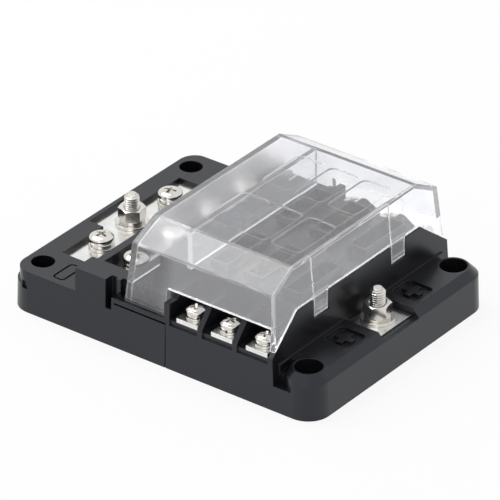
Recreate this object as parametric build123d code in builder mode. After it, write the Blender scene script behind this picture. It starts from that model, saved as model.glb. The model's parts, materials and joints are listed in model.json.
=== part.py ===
"""Six way blade fuse block with a negative bus bar and a clear clip-fit cover.

A black moulded base holds a positive bus with spring clips down its middle, six output
terminals along its long sides and a stepped negative bus at its left end. Each screw
carries a split washer and a flat washer. A clear cover clips on over the fuses.

X runs along the block, from the negative stud to the positive stud. Y runs across it,
and Z is up. The origin is the centre of the base's underside. All sizes are millimetres.
"""

import os
from math import radians, tan

from build123d import *

# Stretches of the base along X, from its left end to its right end
left_beam = 9.7
outer_bay = 19.8
rib_thickness = 2.8
inner_bay = 10.7
seat_length = 7.0
deck_length = 15.4
first_cell = 5.5
row_pitch = 13.6
row_count = 3
terminal_offset = 1.0
terminal_width = 8.3
cell_side_gap = 0.55
end_wall = 1.2
right_lug = 17.0

row_span = row_pitch * (row_count - 1)
last_cell = terminal_offset + terminal_width / 2 + cell_side_gap
base_length = (
    left_beam + outer_bay + rib_thickness + inner_bay + seat_length + deck_length
    + first_cell + row_span + last_cell + end_wall + right_lug
)
base_left = -base_length / 2
base_right = base_length / 2
outer_bay_left = base_left + left_beam
rib_left = outer_bay_left + outer_bay
rib_right = rib_left + rib_thickness
seat_left = rib_right + inner_bay
house_left = seat_left + seat_length
cells_left = house_left + deck_length
first_row = cells_left + first_cell
rows = [first_row + i * row_pitch for i in range(row_count)]
screw_rows = [x + terminal_offset for x in rows]
end_wall_inner = rows[-1] + last_cell
end_wall_outer = end_wall_inner + end_wall

# Base moulding across Y
base_width = 94.0
base_corner = 8.0
side_draft = 2.0
end_wall_lean = 3.4
bay_side_wall = 9.5
cell_depth = 16.5
house_half = base_width / 2 - cell_depth
bay_half = base_width / 2 - bay_side_wall

# Heights of the base moulding
lug_top = 14.9
lip_top = 9.75
wall_top = 23.2
house_top = 28.6
collar_top = 31.5
rib_top = 23.0

# End lip and its small notch
lip_step = 2.2
lip_corner = 6.0
lip_notch_width = 2.2
lip_notch_depth = 1.0
lip_notch_height = 2.8

# Raised side walls beside the negative screws
side_wall_lead = 1.8
wall_slot_width = 2.4
wall_slot_offset = 5.5
wall_slot_depth = 3.4
wall_slot_floor = 13.0
wall_setback = 2.4

# Mounting holes
hole_inset_x = 8.25
hole_inset_y = 8.5
hole_radius = 2.6
head_pocket_radius_left = 3.9
head_pocket_radius_right = 4.6
head_pocket_floor = 5.0

# Right lug
lug_bevel_width = 3.0
lug_bevel_height = 3.1
corner_pocket_length = 6.8
corner_pocket_width = 3.7
corner_pocket_floor = 8.7
hole_boss_radius = 7.4
mark_size = 10.0
mark_corner = 1.8
mark_depth = 1.0
mark_bar = 2.2
mark_arm = 6.6
mark_from_stud = 0.5
mark_y = 18.0

# Minus mark on the left lug
minus_length = 10.4
minus_width = 4.8
minus_line = 0.7
minus_depth = 0.6
minus_gap_from_hole = 8.0
minus_edge_gap = 2.7

# Sheet metal parts
plate = 1.6
running_gap = 0.05

# Negative bus
negative_outer_top = 13.4
negative_inner_top = 18.6
negative_half = 30.5
negative_inner_half = 36.5
stud_notch_half = 9.5
stud_notch_wall = 1.7
negative_stud_inset = 14.0
outer_screw_inset = 15.7
outer_screw_y = 17.9
inner_screw_y = (9.5, 28.0)

# Positive bus
positive_top = 12.9
positive_pad_half = 8.8
positive_stud_offset = 7.0
positive_pad_beyond = 6.9
clip_row_margin = 4.0
bus_side_margin = 0.2

# Blade fuse sockets
blade_spacing = 14.6
blade_width = 5.0
socket_length = 20.0
socket_width = 5.6
socket_wall_y = 3.5
collar_wall = 0.8
fuse_y = house_half - socket_wall_y - socket_length / 2
clip_top = 27.0
clip_pinch = 25.2
clip_sheet = 0.8
clip_gap = 0.35
clip_foot_gap = 0.9
clip_mouth_gap = 1.0

# Output terminals
terminal_top = 19.0
terminal_front_inset = 1.2
terminal_neck_width = 4.8
output_screw_inset = 6.0
ledge_drop = 1.8
output_y = base_width / 2 - output_screw_inset

# Barrier ribs between the output terminals
barrier = 2.2
thin_barrier = 1.9
barrier_gap = 0.3
barrier_top = 25.0
barrier_foot = 18.4
barrier_slope_depth = 5.8

# Clear cover
cover_wall = 1.8
cover_top = 43.9
cover_shoulder = 38.2
cover_foot = 17.5
cover_half_foot = 45.0
cover_half_shoulder = 43.2
cover_half_roof = 32.3
cover_left_gap = 2.8
cover_right_set = 0.3
cover_end_lean = 5.4
cover_edge = 0.7
cover_clearance = 0.3
window_top = 26.9
window_corner = 0.4
corner_post = 1.2
partition_wall = 1.6
label_length = 20.5
label_width = 11.3
label_pitch = 12.9
label_lead = 2.9
label_gap = 9.0
label_corner = 2.2
label_depth = 0.4
tab_width = 7.2
tab_y = 20.4
tab_bottom = 22.4
tab_thickness = 1.3
tab_rib = 0.3
tab_hook = 0.25
tab_hook_height = 1.3
tab_side_gap = 0.35
tab_back_gap = 0.45
flank_half_top = 32.5
flank_foot_y = 45.0
flank_foot_z = 19.0

# Foot recess, groove and seam on the long sides
foot_recess_half = 42.2
foot_groove_height = 0.7
foot_groove_depth = 1.0
foot_bar_height = 1.5
seam_width = 0.35
seam_depth = 0.3
seam_inset = 1.6

# Terminal screws: output screws M3.5 and negative screws M4
output_shank = 3.5
output_head = 7.0
output_head_height = 2.1
output_flat_washer = 0.5
output_split_washer = 0.9
negative_shank = 4.0
negative_head = 8.2
negative_head_height = 2.8
negative_flat_washer = 1.0
negative_split_washer = 1.2
screw_length = 8.0
washer_fit = 0.1
bore_gap = 0.6
bore_run = 0.8
recess_arm = 0.58
recess_bar = 0.14
recess_depth = 0.55
washer_slit = 0.6

# Studs M5 and their nuts
stud_radius = 2.5
stud_top = 24.4
stud_chamfer = 0.8
stud_head_flats = 8.0
stud_head_height = 3.5
stud_pocket_gap = 0.15
nut_flats = 8.0
nut_height = 4.0
nut_chamfer = 0.45
stud_flat_washer = 1.0
stud_flat_washer_radius = 5.6
stud_split_washer = 1.2
stud_split_washer_radius = 4.2
stud_washer_fit = 0.2

# Places worked out from the sizes above
hole_x = base_length / 2 - hole_inset_x
hole_y = base_width / 2 - hole_inset_y
negative_stud_x = base_left + negative_stud_inset
outer_screw_x = base_left + outer_screw_inset
inner_screw_x = rib_right + inner_bay / 2
positive_stud_x = end_wall_outer + positive_stud_offset
positive_pad_right = positive_stud_x + positive_pad_beyond
inner_blade_y = fuse_y - blade_spacing / 2
outer_blade_y = fuse_y + blade_spacing / 2
positive_half = inner_blade_y + blade_width / 2 + bus_side_margin
cover_left = house_left - cover_left_gap
cover_right = end_wall_outer - cover_right_set
end_lean_per_mm = tan(radians(cover_end_lean))
wall_left = rib_left - side_wall_lead


def side_y(z):
    """Half width of the base at a height, on its drafted long sides."""
    return base_width / 2 - z * tan(radians(side_draft))


def end_wall_face(z):
    """Where the end wall's outer face is at a height, as it leans out towards its foot."""
    return end_wall_outer + (house_top - z) * tan(radians(end_wall_lean))


def block(x0, x1, y0, y1, z0, z1, mode=Mode.ADD):
    """A box between two corners, in the part that is being built."""
    with BuildSketch(Plane.XY.offset(z0)) as outline:
        with Locations(((x0 + x1) / 2, (y0 + y1) / 2)):
            Rectangle(x1 - x0, y1 - y0)
    extrude(outline.sketch, amount=z1 - z0, mode=mode)


def both_sides(x0, x1, y0, y1, z0, z1, mode=Mode.ADD):
    """The same box on the near and the far side."""
    block(x0, x1, -y1, -y0, z0, z1, mode)
    block(x0, x1, y0, y1, z0, z1, mode)


def drafted_block(x0, x1, top):
    """A full width block whose long sides have the base's draft."""
    with BuildSketch(Plane.YZ.offset(x0)) as outline:
        with BuildLine():
            Polyline(
                (-side_y(0), 0), (side_y(0), 0), (side_y(top), top), (-side_y(top), top), close=True
            )
        make_face()
    extrude(outline.sketch, amount=x1 - x0)


# Base moulding


def add_body():
    """The foot, the lugs and the raised walls, as one drafted body."""
    with BuildSketch() as outline:
        RectangleRounded(base_length, base_width, base_corner)
    extrude(outline.sketch, amount=lug_top, taper=side_draft)
    drafted_block(wall_left, cells_left, wall_top)
    block(wall_left, rib_left, -bay_half, bay_half, lug_top, wall_top, Mode.SUBTRACT)
    block(rib_left, rib_right, -bay_half, bay_half, rib_top, wall_top, Mode.SUBTRACT)
    drafted_block(cells_left, end_wall_outer, terminal_top - plate)
    block(house_left, end_wall_face(0), -house_half, house_half, 0, house_top)


def cut_end_lip():
    """The left end steps in above a lip, with a small notch at each end of the step."""
    inner_length = base_length - lip_step
    with BuildSketch(Plane.XY.offset(lip_top)) as outline:
        with Locations((base_left, 0)):
            Rectangle(2 * (lip_step + lip_corner), base_width * 1.2)
        with Locations((base_left + lip_step + inner_length / 2, 0)):
            RectangleRounded(inner_length, 2 * side_y(lip_top), lip_corner, mode=Mode.SUBTRACT)
    extrude(outline.sketch, amount=lug_top, mode=Mode.SUBTRACT)
    notch_x = base_left + lip_step + lip_corner
    edge = side_y(lip_top)
    both_sides(
        notch_x - lip_notch_width, notch_x, edge - lip_notch_depth, base_width,
        lip_top - lip_notch_height / 2, lip_top + lip_notch_height / 2, Mode.SUBTRACT,
    )


def cut_negative_bays():
    """The outer bay with its stud notch, and the inner bay beyond the rib."""
    outer_floor = negative_outer_top - plate
    inner_floor = negative_inner_top - plate
    block(outer_bay_left, rib_left, -negative_half, negative_half, outer_floor, wall_top, Mode.SUBTRACT)
    notch_left = base_left + lip_step + stud_notch_wall
    block(
        notch_left, outer_bay_left, -stud_notch_half, stud_notch_half, outer_floor, wall_top,
        Mode.SUBTRACT,
    )
    block(rib_right, seat_left, -bay_half, bay_half, inner_floor, wall_top, Mode.SUBTRACT)


def add_end_wall():
    """The wall under the cover's right edge, with sloping flanks and a leaning outer face."""
    foot_slope = (house_top - flank_foot_z) / (flank_foot_y - flank_half_top)
    outer = side_y(flank_foot_z)
    outer_z = house_top - foot_slope * (outer - flank_half_top)
    with BuildSketch(Plane.YZ.offset(end_wall_inner)) as outline:
        with BuildLine():
            Polyline(
                (-side_y(0), 0), (side_y(0), 0), (side_y(outer_z), outer_z),
                (flank_half_top, house_top), (-flank_half_top, house_top),
                (-side_y(outer_z), outer_z), close=True,
            )
        make_face()
    extrude(outline.sketch, amount=end_wall_face(0) - end_wall_inner)
    with BuildSketch(Plane.XZ.offset(-base_width)) as outline:
        with BuildLine():
            Polyline(
                (end_wall_face(lug_top), lug_top), (end_wall_outer, house_top),
                (end_wall_outer, house_top + 1), (base_right + 1, house_top + 1),
                (base_right + 1, lug_top), close=True,
            )
        make_face()
    extrude(outline.sketch, amount=2 * base_width, mode=Mode.SUBTRACT)


def cut_terminal_ledge():
    """A narrow ledge in front of the output terminals, below their plates."""
    both_sides(
        cells_left, end_wall_inner, base_width / 2 - terminal_front_inset, base_width,
        terminal_top - plate - ledge_drop, terminal_top, Mode.SUBTRACT,
    )


def add_barriers():
    """The ribs beside the output terminals, sloping back at the front."""
    front = side_y(barrier_foot)
    places = [(cells_left - barrier, barrier)]
    places += [(x + terminal_width / 2 + barrier_gap, thin_barrier) for x in screw_rows[:-1]]
    for left, thickness in places:
        with BuildSketch(Plane.YZ.offset(left)) as outline:
            with BuildLine():
                Polyline(
                    (house_half, lip_top), (side_y(lip_top), lip_top), (front, barrier_foot),
                    (front - barrier_slope_depth, barrier_top), (house_half, barrier_top), close=True,
                )
            make_face()
            mirror(about=Plane.YZ)
        extrude(outline.sketch, amount=thickness)


def cut_foot_recesses():
    """Room for the cover's feet, the slot beside them and the groove below."""
    reach = base_width
    slot_left = seat_left - wall_slot_offset + wall_slot_width
    slot_right = slot_left + wall_slot_width
    face = side_y(wall_top)
    both_sides(
        slot_left, slot_right, face - wall_slot_depth, reach, wall_slot_floor, wall_top + 1,
        Mode.SUBTRACT,
    )
    both_sides(
        slot_right, seat_left + 1, face - wall_setback, reach, cover_foot, wall_top + 1, Mode.SUBTRACT
    )
    both_sides(
        seat_left + 1, cells_left - barrier, foot_recess_half, reach, cover_foot, wall_top + 1,
        Mode.SUBTRACT,
    )
    groove_top = cover_foot - foot_bar_height
    both_sides(
        slot_right + 1, cells_left - seam_inset, side_y(groove_top) - foot_groove_depth, reach,
        groove_top - foot_groove_height, groove_top, Mode.SUBTRACT,
    )
    seam_x = cells_left - seam_inset
    both_sides(
        seam_x, seam_x + seam_width, side_y(lip_top) - seam_depth, reach, -1, groove_top,
        Mode.SUBTRACT,
    )


def add_collars():
    """A low collar round each fuse socket."""
    for x in rows:
        both_sides(
            x - socket_width / 2 - collar_wall, x + socket_width / 2 + collar_wall,
            fuse_y - socket_length / 2 - collar_wall, fuse_y + socket_length / 2 + collar_wall,
            house_top - 1, collar_top,
        )


def cut_sockets():
    """The fuse sockets, with a deeper end over the positive bus."""
    for x in rows:
        x0 = x - socket_width / 2
        x1 = x + socket_width / 2
        near = fuse_y - socket_length / 2
        far = fuse_y + socket_length / 2
        both_sides(x0, x1, near, far, terminal_top - plate, collar_top + 1, Mode.SUBTRACT)
        both_sides(x0, x1, near, positive_half, positive_top, collar_top + 1, Mode.SUBTRACT)


def cut_corner_pockets():
    """A pocket at each outer corner beside the end wall, with the hole's round boss in it."""
    right = end_wall_face(corner_pocket_floor) + corner_pocket_length
    inner = base_width / 2 - corner_pocket_width
    for start in (inner, -base_width):
        with BuildSketch(Plane.XZ.offset(start)) as outline:
            with BuildLine():
                Polyline(
                    (end_wall_face(corner_pocket_floor), corner_pocket_floor),
                    (right, corner_pocket_floor), (right, lug_top + 1),
                    (end_wall_face(lug_top + 1), lug_top + 1), close=True,
                )
            make_face()
        extrude(outline.sketch, amount=base_width - inner, mode=Mode.SUBTRACT)
    with BuildSketch(Plane.XY.offset(corner_pocket_floor)) as outline:
        with Locations((hole_x, hole_y), (hole_x, -hole_y)):
            Circle(hole_boss_radius)
    extrude(outline.sketch, amount=lug_top - corner_pocket_floor)


def cut_lug_bevel():
    """The bevel along the right end, carried round the outer side of both holes."""
    low = lug_top - lug_bevel_height
    rim = base_right - lug_bevel_width - hole_x
    with BuildSketch(Plane.XZ.offset(-hole_y)) as outline:
        with BuildLine():
            Polyline(
                (hole_x + rim, lug_top), (base_right, low), (base_right + 1, low),
                (base_right + 1, lug_top + 1), (hole_x + rim, lug_top + 1), close=True,
            )
        make_face()
    extrude(outline.sketch, amount=2 * hole_y, mode=Mode.SUBTRACT)
    for side in (-1, 1):
        reach = side * (rim + 2 * lug_bevel_width)
        with BuildPart() as corner:
            with BuildSketch(Plane.XZ) as outline:
                with BuildLine():
                    Polyline(
                        (rim, lug_top), (rim + lug_bevel_width, low), (abs(reach), low),
                        (abs(reach), lug_top + 1), (rim, lug_top + 1), close=True,
                    )
                make_face()
            revolve(outline.sketch, axis=Axis.Z)
            block(
                -hole_boss_radius, abs(reach), min(0, reach), max(0, reach), low - 1, lug_top + 2,
                Mode.INTERSECT,
            )
        add(corner.part.moved(Location((hole_x, side * hole_y, 0))), mode=Mode.SUBTRACT)


def cut_right_lug():
    """The corner pockets, the bevel, the plus marks and the relief beside the stud pad."""
    cut_corner_pockets()
    cut_lug_bevel()
    relief_z = lug_top - lug_bevel_height + 0.3
    block(
        end_wall_face(positive_top), positive_pad_right + 0.2,
        -positive_pad_half - 0.3, positive_pad_half + 0.3,
        positive_top - plate, lug_top + 1, Mode.SUBTRACT,
    )
    block(
        positive_pad_right, base_right + 1, -positive_pad_half - 0.3, positive_pad_half + 0.3,
        relief_z, lug_top + 1, Mode.SUBTRACT,
    )
    mark_x = positive_stud_x + mark_from_stud
    with BuildSketch(Plane.XY.offset(lug_top - mark_depth)) as outline:
        with Locations((mark_x, mark_y), (mark_x, -mark_y)):
            RectangleRounded(mark_size, mark_size, mark_corner)
            Rectangle(mark_bar, mark_arm, mode=Mode.SUBTRACT)
            Rectangle(mark_arm, mark_bar, mode=Mode.SUBTRACT)
    extrude(outline.sketch, amount=mark_depth + 1, mode=Mode.SUBTRACT)


def cut_minus_mark():
    """A minus sign in outline, engraved beside the near left hole."""
    x = -hole_x + minus_gap_from_hole + minus_width / 2
    y = -base_width / 2 + minus_edge_gap + minus_length / 2
    with BuildSketch(Plane.XY.offset(lug_top - minus_depth)) as outline:
        with Locations((x, y)):
            RectangleRounded(minus_width, minus_length, minus_width / 3)
            RectangleRounded(
                minus_width - 2 * minus_line, minus_length - 2 * minus_line,
                minus_width / 3 - minus_line, mode=Mode.SUBTRACT,
            )
    extrude(outline.sketch, amount=minus_depth + 1, mode=Mode.SUBTRACT)


def cut_mounting_holes():
    """Four screw holes with deep pockets for the screw heads."""
    for x, pocket in ((-hole_x, head_pocket_radius_left), (hole_x, head_pocket_radius_right)):
        with Locations((x, hole_y, lug_top), (x, -hole_y, lug_top)):
            CounterBoreHole(hole_radius, pocket, lug_top - head_pocket_floor)


def cut_stud_pockets():
    """Hexagon pockets that hold the studs' heads from below."""
    for x, ceiling in (
        (negative_stud_x, negative_outer_top - plate), (positive_stud_x, positive_top - plate)
    ):
        with BuildSketch() as outline:
            with Locations((x, 0)):
                RegularPolygon(stud_head_flats / 2 + stud_pocket_gap, 6, major_radius=False)
        extrude(outline.sketch, amount=ceiling, mode=Mode.SUBTRACT)


def cut_screw_bores():
    """Blind bores under the plates, for the screws' tips."""
    for x, y, plate_top, washers, shank in screw_places():
        floor = plate_top + washers - screw_length - bore_run
        with BuildSketch(Plane.XY.offset(floor)) as outline:
            with Locations((x, y)):
                Circle(shank / 2 + bore_gap)
        extrude(outline.sketch, amount=plate_top - plate - floor, mode=Mode.SUBTRACT)


def screw_places():
    """Each terminal screw's x, y, plate top, washer stack and shank size."""
    places = []
    output_stack = output_flat_washer + output_split_washer
    negative_stack = negative_flat_washer + negative_split_washer
    for side in (-1, 1):
        for x in screw_rows:
            places.append((x, side * output_y, terminal_top, output_stack, output_shank))
        places.append(
            (outer_screw_x, side * outer_screw_y, negative_outer_top, negative_stack, negative_shank)
        )
        for y in inner_screw_y:
            places.append(
                (inner_screw_x, side * y, negative_inner_top, negative_stack, negative_shank)
            )
    return places


def cut_tab_pockets():
    """Pockets in the end wall for the cover's clip tabs, with a catch groove."""
    half = tab_width / 2 + tab_side_gap
    back = end_wall_outer - tab_thickness - tab_back_gap
    both_sides(
        back, end_wall_outer + 1, tab_y - half, tab_y + half, tab_bottom - tab_side_gap,
        house_top + 1, Mode.SUBTRACT,
    )
    both_sides(
        back - tab_hook, end_wall_outer, tab_y - half, tab_y + half, tab_bottom - tab_side_gap,
        tab_bottom + tab_hook_height + tab_side_gap, Mode.SUBTRACT,
    )


def make_base(inserts):
    """The base moulding, formed round the metal parts."""
    with BuildPart() as base:
        add_body()
        cut_end_lip()
        cut_negative_bays()
        add_end_wall()
        cut_terminal_ledge()
        add_barriers()
        cut_foot_recesses()
        add_collars()
        cut_sockets()
        cut_right_lug()
        cut_minus_mark()
        cut_mounting_holes()
        cut_stud_pockets()
        cut_screw_bores()
        cut_tab_pockets()
        for insert in inserts:
            add(insert, mode=Mode.SUBTRACT)
    return base.part


# Sheet metal


def add_clip(x, y, foot):
    """Two spring leaves that grip one fuse blade, standing on a plate."""
    with BuildSketch(Plane.XZ.offset(-(y - blade_width / 2))) as outline:
        with BuildLine():
            Polyline(
                (clip_foot_gap, foot), (clip_gap, clip_pinch), (clip_mouth_gap, clip_top),
                (clip_mouth_gap + clip_sheet, clip_top), (clip_gap + clip_sheet, clip_pinch),
                (clip_foot_gap + clip_sheet, foot), close=True,
            )
        make_face()
        mirror(about=Plane.YZ)
    extrude(outline.sketch, amount=-blade_width)


def make_positive_bus():
    """The flat positive bus with its stud pad and one clip for each fuse."""
    with BuildPart() as bus:
        z0 = positive_top - plate
        bar_left = rows[0] - clip_row_margin
        bar_right = rows[-1] + clip_row_margin
        block(bar_left, bar_right, -positive_half, positive_half, z0, positive_top)
        block(bar_left, positive_pad_right, -positive_pad_half, positive_pad_half, z0, positive_top)
        with Locations((positive_stud_x, 0, positive_top)):
            Hole(stud_radius + running_gap, depth=plate)
    parts = bus.part
    for x in rows:
        for y in (-inner_blade_y, inner_blade_y):
            parts = parts + clip_at(x, y, positive_top)
    return parts


def clip_at(x, y, foot):
    """One clip, moved to its row."""
    with BuildPart() as clip:
        add_clip(x, y, foot)
    return clip.part.moved(Location((x, 0, 0)))


def make_negative_bus():
    """The negative bus, one plate in two steps with its riser at the rib."""
    with BuildPart() as bus:
        z0 = negative_outer_top - plate
        tab_left = base_left + lip_step + stud_notch_wall
        block(outer_bay_left, rib_right + plate, -negative_half, negative_half, z0, negative_outer_top)
        block(tab_left, outer_bay_left, -stud_notch_half, stud_notch_half, z0, negative_outer_top)
        block(rib_right, rib_right + plate, -negative_half, negative_half, z0, negative_inner_top)
        block(
            rib_right, seat_left, -negative_inner_half, negative_inner_half,
            negative_inner_top - plate, negative_inner_top,
        )
        with Locations((negative_stud_x, 0, negative_outer_top)):
            Hole(stud_radius + running_gap, depth=plate)
        with Locations(
            (outer_screw_x, outer_screw_y, negative_outer_top),
            (outer_screw_x, -outer_screw_y, negative_outer_top),
        ):
            Hole(negative_shank / 2 + running_gap, depth=plate)
        for y in inner_screw_y:
            with Locations((inner_screw_x, y, negative_inner_top), (inner_screw_x, -y, negative_inner_top)):
                Hole(negative_shank / 2 + running_gap, depth=plate)
    return bus.part


def make_terminal(x, side):
    """One output terminal: a screw pad outside and a fuse clip inside the housing."""
    front = base_width / 2 - terminal_front_inset
    back = outer_blade_y - blade_width / 2 - bus_side_margin
    z0 = terminal_top - plate
    middle = x + terminal_offset
    with BuildPart() as terminal:
        block(middle - terminal_width / 2, middle + terminal_width / 2, house_half, front, z0, terminal_top)
        block(x - terminal_neck_width / 2, x + terminal_neck_width / 2, back, house_half, z0, terminal_top)
        with Locations((middle, output_y, terminal_top)):
            Hole(output_shank / 2 + running_gap, depth=plate)
    part = terminal.part + clip_at(x, outer_blade_y, terminal_top)
    if side < 0:
        part = part.mirror(Plane.XZ)
    return part


# Fasteners


def make_screw(x, y, plate_top, washers, shank, head, head_height):
    """A pan head screw with a cross recess."""
    seat = plate_top + washers
    tip = seat - screw_length
    with BuildPart() as screw:
        with BuildSketch(Plane.XZ):
            with BuildLine():
                crown = ThreePointArc(
                    (0, seat + head_height),
                    (head * 0.3, seat + head_height * 0.86),
                    (head / 2, seat + head_height * 0.42),
                )
                Polyline(
                    crown @ 1, (head / 2, seat), (shank / 2, seat), (shank / 2, tip + shank * 0.2),
                    (shank * 0.3, tip), (0, tip), (0, seat + head_height),
                )
            make_face()
        revolve(axis=Axis.Z)
        depth = head_height * recess_depth
        with BuildSketch(Plane.XY.offset(seat + head_height - depth)):
            Rectangle(head * recess_arm, head * recess_bar)
            Rectangle(head * recess_bar, head * recess_arm)
        extrude(amount=depth + 1, mode=Mode.SUBTRACT)
    return screw.part.moved(Location((x, y, 0)))


def make_washers(x, y, plate_top, hole, flat_radius, flat, split_radius, split):
    """A flat washer with a split spring washer on it."""
    with BuildPart() as washers:
        with BuildSketch(Plane.XY.offset(plate_top)):
            Circle(flat_radius)
            Circle(hole, mode=Mode.SUBTRACT)
        extrude(amount=flat)
        with BuildSketch(Plane.XY.offset(plate_top + flat)):
            Circle(split_radius)
            Circle(hole, mode=Mode.SUBTRACT)
            with Locations((0, -split_radius)):
                Rectangle(washer_slit, 2 * (split_radius - hole / 2), mode=Mode.SUBTRACT)
        extrude(amount=split)
    return washers.part.moved(Location((x, y, 0)))


def make_stud(x, plate_top):
    """A hexagon headed stud, its head under the plate."""
    head_top = plate_top - plate
    with BuildPart() as stud:
        with BuildSketch(Plane.XY.offset(head_top - stud_head_height)):
            RegularPolygon(stud_head_flats / 2, 6, major_radius=False)
        extrude(amount=stud_head_height)
        with BuildSketch(Plane.XY.offset(head_top)):
            Circle(stud_radius)
        extrude(amount=stud_top - head_top)
        chamfer(stud.faces().sort_by(Axis.Z)[-1].edges(), stud_chamfer)
    return stud.part.moved(Location((x, 0, 0)))


def make_nut(x, plate_top):
    """A hexagon nut with chamfered corners."""
    seat = plate_top + stud_flat_washer + stud_split_washer
    corner = nut_flats / 2 / (3 ** 0.5 / 2)
    with BuildPart() as nut:
        with BuildSketch(Plane.XY.offset(seat)):
            RegularPolygon(nut_flats / 2, 6, major_radius=False)
            Circle(stud_radius + running_gap, mode=Mode.SUBTRACT)
        extrude(amount=nut_height)
        with BuildSketch(Plane.XZ):
            with BuildLine():
                Polyline(
                    (0, seat), (corner - nut_chamfer, seat), (corner, seat + nut_chamfer),
                    (corner, seat + nut_height - nut_chamfer), (corner - nut_chamfer, seat + nut_height),
                    (0, seat + nut_height), close=True,
                )
            make_face()
        revolve(axis=Axis.Z, mode=Mode.INTERSECT)
    return nut.part.moved(Location((x, 0, 0)))


# Clear cover


def cover_form(inset):
    """The cover's hood as a solid, set in from its outer faces."""
    low = -20.0
    foot_lean = (cover_half_foot - cover_half_shoulder) / (cover_shoulder - cover_foot)
    half_low = cover_half_foot + (cover_foot - low) * foot_lean
    left_low = cover_left - (house_top - low) * end_lean_per_mm
    left_top = cover_left + (cover_top - house_top) * end_lean_per_mm
    right_low = cover_right + (house_top - low) * end_lean_per_mm
    right_top = cover_right - (cover_top - house_top) * end_lean_per_mm
    with BuildPart() as form:
        with BuildSketch(Plane.YZ):
            with BuildLine():
                Polyline(
                    (-half_low, low), (half_low, low), (cover_half_shoulder, cover_shoulder),
                    (cover_half_roof, cover_top), (-cover_half_roof, cover_top),
                    (-cover_half_shoulder, cover_shoulder), close=True,
                )
            make_face()
            if inset > 0:
                offset(amount=-inset, kind=Kind.INTERSECTION, mode=Mode.REPLACE)
        extrude(amount=base_length, both=True)
        with BuildSketch(Plane.XZ):
            with BuildLine():
                Polyline(
                    (left_low, low), (right_low, low), (right_top, cover_top), (left_top, cover_top),
                    close=True,
                )
            make_face()
            if inset > 0:
                offset(amount=-inset, kind=Kind.INTERSECTION, mode=Mode.REPLACE)
        extrude(amount=base_width, both=True, mode=Mode.INTERSECT)
    return form.part


def cut_cover_rim():
    """Trims the hood: feet at the left, windows over the terminals, and the sloping right edge."""
    reach = base_width
    seat_gap = wall_top + cover_clearance
    window_left = cells_left - barrier - cover_clearance
    window_right = cover_right - corner_post
    block(-base_length, base_length, -reach, reach, -30, cover_foot, Mode.SUBTRACT)
    block(
        -base_length, house_left, -foot_recess_half - cover_clearance, foot_recess_half + cover_clearance,
        -30, seat_gap, Mode.SUBTRACT,
    )
    with BuildSketch(Plane.XZ.offset(-reach)) as outline:
        with BuildLine():
            Polyline(
                (window_left, 0), (window_right, 0), (window_right, window_top - window_corner),
                (window_right - window_corner, window_top), (window_left, window_top), close=True,
            )
        make_face()
    extrude(outline.sketch, amount=2 * reach, mode=Mode.SUBTRACT)
    slope = (house_top - flank_foot_z) / (flank_foot_y - flank_half_top)
    top = house_top + cover_clearance
    drop = slope * (reach - flank_half_top)
    with BuildSketch(Plane.YZ.offset(cover_right - cover_wall - cover_clearance)) as outline:
        with BuildLine():
            Polyline(
                (-reach, top - drop), (-flank_half_top, top), (flank_half_top, top),
                (reach, top - drop), (reach, -50), (-reach, -50), close=True,
            )
        make_face()
    extrude(outline.sketch, amount=base_length, mode=Mode.SUBTRACT)


def add_cover_tabs():
    """Clip tabs on the right wall, each with a rib running up to the roof."""
    outer = cover_right + tab_rib
    lean = (cover_top - house_top) * end_lean_per_mm
    for side in (-1, 1):
        y0 = side * tab_y - tab_width / 2
        y1 = side * tab_y + tab_width / 2
        block(outer - tab_thickness, outer, y0, y1, tab_bottom, house_top + 2)
        block(
            outer - tab_thickness - tab_hook, outer - tab_thickness, y0, y1, tab_bottom,
            tab_bottom + tab_hook_height,
        )
        with BuildSketch(Plane.XZ.offset(-y0)) as outline:
            with BuildLine():
                Polyline(
                    (outer, house_top), (outer - lean, cover_top), (outer - lean - cover_wall, cover_top),
                    (outer - tab_thickness, house_top), close=True,
                )
            make_face()
        extrude(outline.sketch, amount=-tab_width)


def cut_labels():
    """Shallow label recesses in the roof, one for each fuse."""
    first = cells_left - label_lead
    y = (label_gap + label_length) / 2
    with BuildSketch(Plane.XY.offset(cover_top - label_depth)) as outline:
        for i in range(row_count):
            x = first + label_width / 2 + i * label_pitch
            with Locations((x, y), (x, -y)):
                RectangleRounded(label_width, label_length, label_corner)
    extrude(outline.sketch, amount=label_depth + 1, mode=Mode.SUBTRACT)


def make_cover():
    """The clear cover."""
    with BuildPart() as cover:
        add(cover_form(0))
        outside = cover.edges().filter_by_position(Axis.Z, 0, cover_top + 1)
        fillet(outside, cover_edge)
        add(cover_form(cover_wall), mode=Mode.SUBTRACT)
        partition_x = cells_left - barrier
        block(
            partition_x - partition_wall / 2, partition_x + partition_wall / 2,
            -flank_half_top, flank_half_top, house_top + 2 * cover_clearance,
            cover_top - cover_wall / 2,
        )
        cut_cover_rim()
        add_cover_tabs()
        cut_labels()
    return cover.part


# Build and write every piece


def save(part, name):
    """Labels a piece and writes its file."""
    part.label = name
    export_step(part, f"parts/{name}.step")


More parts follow.
